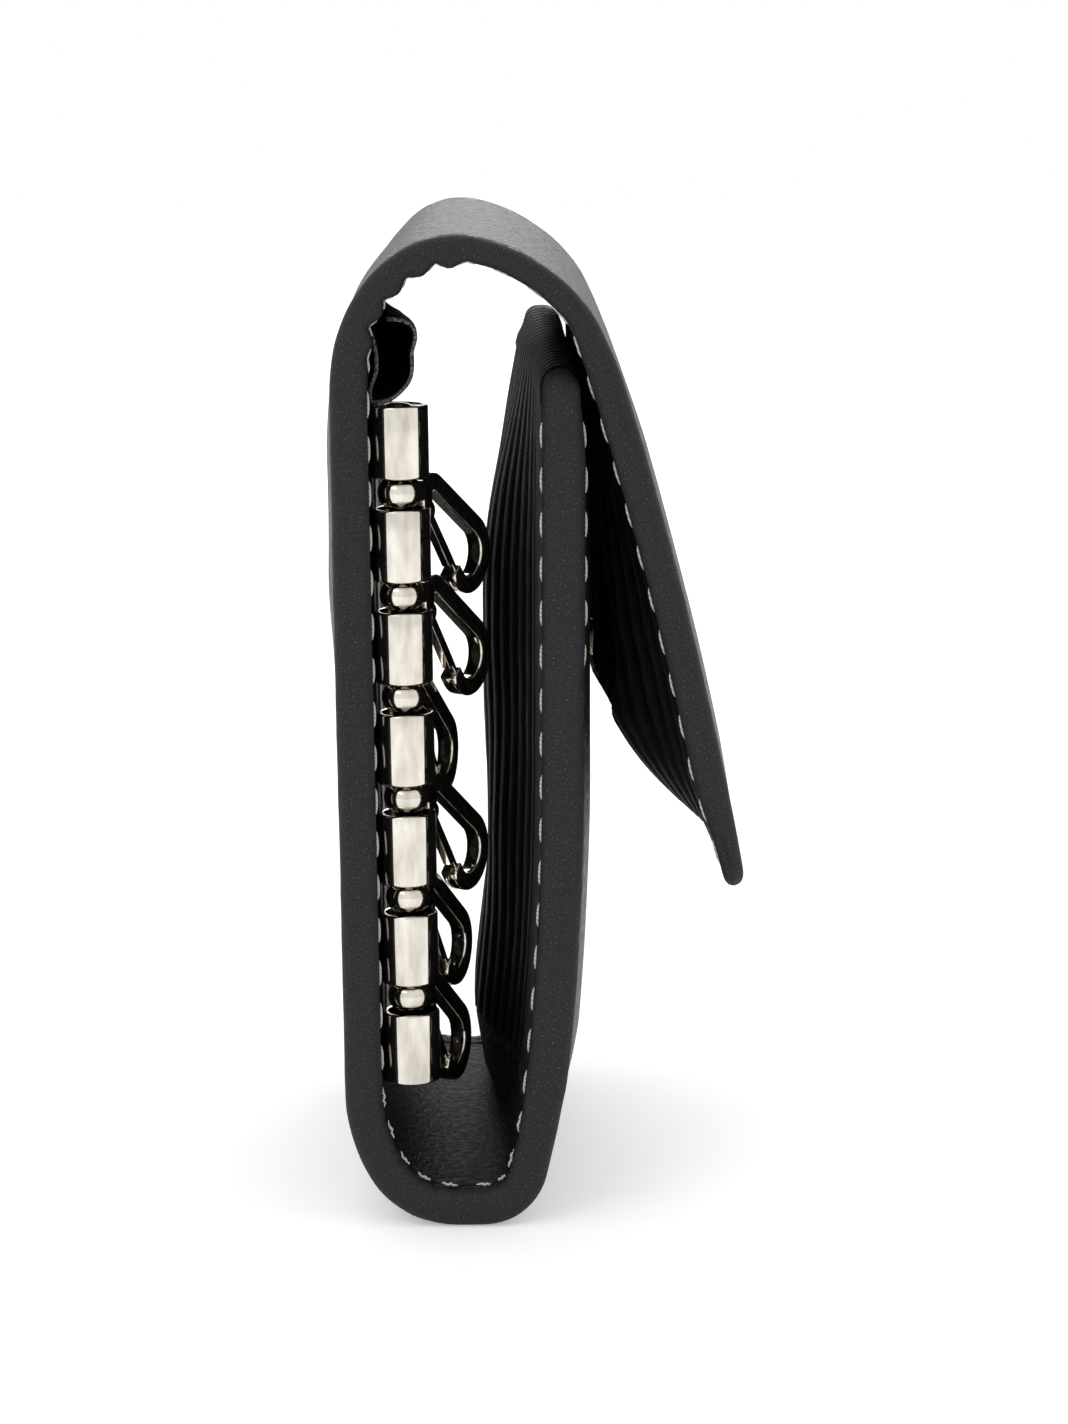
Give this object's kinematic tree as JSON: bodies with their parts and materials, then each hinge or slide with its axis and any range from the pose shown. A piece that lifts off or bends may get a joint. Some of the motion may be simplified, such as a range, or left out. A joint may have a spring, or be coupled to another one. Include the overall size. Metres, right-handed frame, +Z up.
{
  "type": "key case",
  "caption": "Leather key case with a pinned rail of swinging spring hooks on its back panel, a folded front and a snap flap.",
  "frame": {"origin": "centre of the box round the case on the surface that it stands on", "axes": "+Z up along the rail, +X from the back panel to the flap, +Y from the open near end with the rail to the far end"},
  "size_m": [0.045, 0.065, 0.1097],
  "materials": {
    "leather": "fine-grained black leather with a satin sheen",
    "lining": "black ribbed textile with a low shine",
    "board": "plain stiffener board, hidden inside the panels",
    "thread": "pale grey waxed thread",
    "rail_metal": "polished nickel with a warm tint",
    "snap_metal": "polished pale gold"
  },
  "bodies": {
    "case": {"back_leather": "leather", "back_board": "board", "back_lining": "lining", "back_stitching": "thread", "back_pocket": "lining", "key_rail": "rail_metal", "rail_pin": "rail_metal", "rail_rivets": "rail_metal", "rail_washers": "rail_metal"},
    "front_panel": {"front_leather": "leather", "front_board": "board", "front_lining": "lining", "front_stitching": "thread", "front_outer_stitching": "thread", "snap_stud": "snap_metal", "snap_post": "snap_metal"},
    "top_fold_1": {"top_fold_leather_1": "leather", "top_fold_lining_1": "lining"},
    "top_fold_2": {"top_fold_leather_2": "leather", "top_fold_lining_2": "lining"},
    "top_fold_3": {"top_fold_leather_3": "leather", "top_fold_lining_3": "lining"},
    "flap": {"flap_leather": "leather", "flap_board": "board", "flap_lining": "lining", "flap_stitching": "thread", "flap_outer_stitching": "thread", "snap_socket": "snap_metal", "snap_cap": "snap_metal"},
    "hook_1": {"hook_1": "rail_metal", "gate_rivet_1": "rail_metal"},
    "gate_1": {"gate_1": "rail_metal"},
    "hook_2": {"hook_2": "rail_metal", "gate_rivet_2": "rail_metal"},
    "gate_2": {"gate_2": "rail_metal"},
    "hook_3": {"hook_3": "rail_metal", "gate_rivet_3": "rail_metal"},
    "gate_3": {"gate_3": "rail_metal"},
    "hook_4": {"hook_4": "rail_metal", "gate_rivet_4": "rail_metal"},
    "gate_4": {"gate_4": "rail_metal"},
    "hook_5": {"hook_5": "rail_metal", "gate_rivet_5": "rail_metal"},
    "gate_5": {"gate_5": "rail_metal"},
    "hook_6": {"hook_6": "rail_metal", "gate_rivet_6": "rail_metal"},
    "gate_6": {"gate_6": "rail_metal"}
  },
  "joints": [
    {"name": "top_fold_crease_1", "type": "hinge", "parent": "case", "child": "top_fold_1", "pos_m": [-0.02174, 0, 0.10092], "axis": [0, -1, 0], "range_deg": [-3.2, 41.5], "stiffness_Nm_per_rad": 0.6},
    {"name": "top_fold_crease_2", "type": "hinge", "parent": "top_fold_1", "child": "top_fold_2", "pos_m": [-0.01585, 0, 0.10797], "axis": [0, -1, 0], "range_deg": [-3.2, 41.5]},
    {"name": "top_fold_crease_3", "type": "hinge", "parent": "top_fold_2", "child": "top_fold_3", "pos_m": [-0.00715, 0, 0.10954], "axis": [0, -1, 0], "range_deg": [-3.2, 41.5]},
    {"name": "top_fold_crease_4", "type": "hinge", "parent": "top_fold_3", "child": "flap", "pos_m": [0.00506, 0, 0.10241], "axis": [0, -1, 0], "range_deg": [-3.2, 41.5]},
    {"name": "foot_crease", "type": "hinge", "parent": "case", "child": "front_panel", "pos_m": [-0.00775, 0, 0], "axis": [0, 1, 0], "range_deg": [-1.92, 24.9]},
    {"name": "hook_1_swing", "type": "hinge", "parent": "case", "child": "hook_1", "pos_m": [-0.01499, -0.0279, 0.08109], "axis": [0.014, 0, -0.9999], "range_deg": [-33, 10]},
    {"name": "gate_1_spring", "type": "hinge", "parent": "hook_1", "child": "gate_1", "pos_m": [-0.01259, -0.02346, 0.07848], "axis": [0.8829, -0.4695, 0.0123], "range_deg": [0, 16], "stiffness_Nm_per_rad": 0.0005},
    {"name": "hook_2_swing", "type": "hinge", "parent": "case", "child": "hook_2", "pos_m": [-0.01484, -0.0279, 0.06994], "axis": [0.014, 0, -0.9999], "range_deg": [-33, 10]},
    {"name": "gate_2_spring", "type": "hinge", "parent": "hook_2", "child": "gate_2", "pos_m": [-0.01248, -0.02354, 0.06732], "axis": [0.8829, -0.4695, 0.0123], "range_deg": [0, 16], "stiffness_Nm_per_rad": 0.0005},
    {"name": "hook_3_swing", "type": "hinge", "parent": "case", "child": "hook_3", "pos_m": [-0.01468, -0.0279, 0.0588], "axis": [0.014, 0, -0.9999], "range_deg": [-20, 23]},
    {"name": "gate_3_spring", "type": "hinge", "parent": "hook_3", "child": "gate_3", "pos_m": [-0.01337, -0.02313, 0.05616], "axis": [0.9658, -0.2588, 0.0135], "range_deg": [0, 16], "stiffness_Nm_per_rad": 0.0005},
    {"name": "hook_4_swing", "type": "hinge", "parent": "case", "child": "hook_4", "pos_m": [-0.01452, -0.0279, 0.04765], "axis": [0.014, 0, -0.9999], "range_deg": [-31, 12]},
    {"name": "gate_4_spring", "type": "hinge", "parent": "hook_4", "child": "gate_4", "pos_m": [-0.01232, -0.02346, 0.04502], "axis": [0.8987, -0.4384, 0.0125], "range_deg": [0, 16], "stiffness_Nm_per_rad": 0.0005},
    {"name": "hook_5_swing", "type": "hinge", "parent": "case", "child": "hook_5", "pos_m": [-0.01437, -0.0279, 0.0365], "axis": [0.014, 0, -0.9999], "range_deg": [-24, 19]},
    {"name": "gate_5_spring", "type": "hinge", "parent": "hook_5", "child": "gate_5", "pos_m": [-0.01272, -0.02323, 0.03387], "axis": [0.9454, -0.3256, 0.0132], "range_deg": [0, 16], "stiffness_Nm_per_rad": 0.0005},
    {"name": "hook_6_swing", "type": "hinge", "parent": "case", "child": "hook_6", "pos_m": [-0.01421, -0.0279, 0.02535], "axis": [0.014, 0, -0.9999], "range_deg": [-23, 20]},
    {"name": "gate_6_spring", "type": "hinge", "parent": "hook_6", "child": "gate_6", "pos_m": [-0.01265, -0.0232, 0.02272], "axis": [0.951, -0.309, 0.0133], "range_deg": [0, 16], "stiffness_Nm_per_rad": 0.0005}
  ],
  "couplings": [
    {"joint": "top_fold_crease_2", "follows": "top_fold_crease_1", "ratio": 1},
    {"joint": "top_fold_crease_3", "follows": "top_fold_crease_1", "ratio": 1},
    {"joint": "top_fold_crease_4", "follows": "top_fold_crease_1", "ratio": 1},
    {"joint": "foot_crease", "follows": "top_fold_crease_1", "ratio": 0.6}
  ]
}
